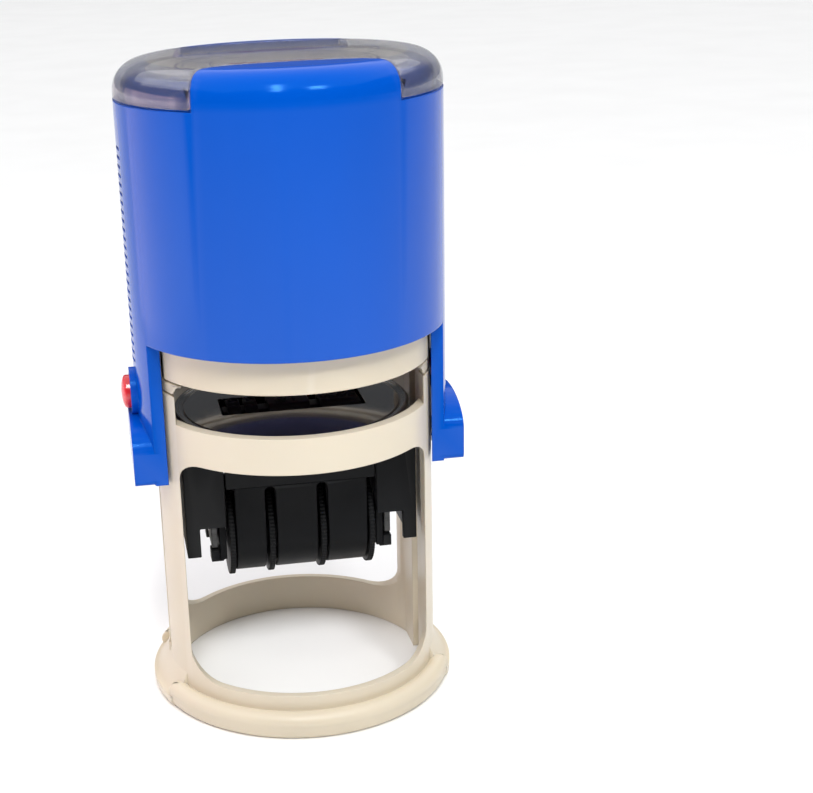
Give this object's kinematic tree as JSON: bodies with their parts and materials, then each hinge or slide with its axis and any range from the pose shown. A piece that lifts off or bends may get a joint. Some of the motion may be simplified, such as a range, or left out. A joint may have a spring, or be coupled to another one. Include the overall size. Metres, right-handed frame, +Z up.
{
  "type": "self-inking date stamp",
  "caption": "Round self-inking date stamp with a spring-loaded cap, flipping die plate, ink pad cassette and thumb-wheel date bands.",
  "frame": {"origin": "centre of the foot ring, on the surface that the stamp stands on", "axes": "+X to the right, -Y to the front where the ink pad slides out, +Z up"},
  "size_m": [0.0604, 0.0572, 0.1171],
  "materials": {
    "ivory": "moulded ivory ABS, satin gloss",
    "blue": "moulded bright blue ABS, glossy",
    "smoked_cover": "clear smoked polycarbonate, polished",
    "black": "moulded black plastic, satin",
    "gloss_black": "moulded black plastic, polished",
    "red": "moulded red plastic, glossy",
    "band_rubber": "moulded black rubber",
    "steel": "zinc plated steel",
    "text_felt": "blue inked felt",
    "date_felt": "red inked felt",
    "card": "plain card"
  },
  "bodies": {
    "frame": {"base_frame": "ivory", "pad_housing": "ivory", "return_spring": "steel"},
    "pad_tray": {"pad_cassette": "ivory", "ink_pad_text": "text_felt", "ink_pad_date": "date_felt"},
    "cap": {"cap_shell": "blue", "index_card": "card"},
    "cover": {"top_cover": "smoked_cover"},
    "lock_left": {"lock_button_left": "red"},
    "lock_right": {"lock_button_right": "red"},
    "carriage": {"die_plate": "gloss_black", "carriage_frame": "black", "band_bridge": "black", "wheel_cover": "black", "wheel_axle": "steel", "axle_pin_left": "steel", "axle_pin_right": "steel", "axle_clip_left": "steel", "axle_clip_right": "steel", "flip_cam_left": "black", "flip_cam_right": "black", "date_band_1": "band_rubber", "date_band_2": "band_rubber", "date_band_3": "band_rubber", "date_band_4": "band_rubber"},
    "wheel_1": {"date_wheel_1": "black"},
    "wheel_2": {"date_wheel_2": "black"},
    "wheel_3": {"date_wheel_3": "black"},
    "wheel_4": {"date_wheel_4": "black"}
  },
  "joints": [
    {"name": "press_slide", "type": "slide", "parent": "frame", "child": "cap", "axis": [0, 0, -1], "range_m": [0, 0.038], "stiffness_N_per_m": 350, "springref_m": -0.015, "deforming": ["return_spring"]},
    {"name": "carriage_flip", "type": "hinge", "parent": "cap", "child": "carriage", "pos_m": [0, 0, 0.047], "axis": [1, 0, 0], "range_deg": [0, 180]},
    {"name": "pad_slide", "type": "slide", "parent": "frame", "child": "pad_tray", "axis": [0, -1, 0], "range_m": [0, 0.052]},
    {"name": "lock_left_press", "type": "slide", "parent": "cap", "child": "lock_left", "axis": [1, 0, 0], "range_m": [0, 0.0015], "stiffness_N_per_m": 500, "springref_m": -0.001},
    {"name": "lock_right_press", "type": "slide", "parent": "cap", "child": "lock_right", "axis": [-1, 0, 0], "range_m": [0, 0.0012], "stiffness_N_per_m": 500, "springref_m": -0.001},
    {"name": "cover_lift", "type": "slide", "parent": "cap", "child": "cover", "axis": [0, 0, 1], "range_m": [0, 0.015]},
    {"name": "date_wheel_1_turn", "type": "hinge", "parent": "carriage", "child": "wheel_1", "pos_m": [-0.0129, 0, 0.031], "axis": [1, 0, 0], "continuous": true},
    {"name": "date_wheel_2_turn", "type": "hinge", "parent": "carriage", "child": "wheel_2", "pos_m": [-0.0056, 0, 0.031], "axis": [1, 0, 0], "continuous": true},
    {"name": "date_wheel_3_turn", "type": "hinge", "parent": "carriage", "child": "wheel_3", "pos_m": [0.0039, 0, 0.031], "axis": [1, 0, 0], "continuous": true},
    {"name": "date_wheel_4_turn", "type": "hinge", "parent": "carriage", "child": "wheel_4", "pos_m": [0.0129, 0, 0.031], "axis": [1, 0, 0], "continuous": true}
  ],
  "couplings": [
    {"joint": "carriage_flip", "follows": "press_slide", "rad_per_m": 82.673}
  ]
}
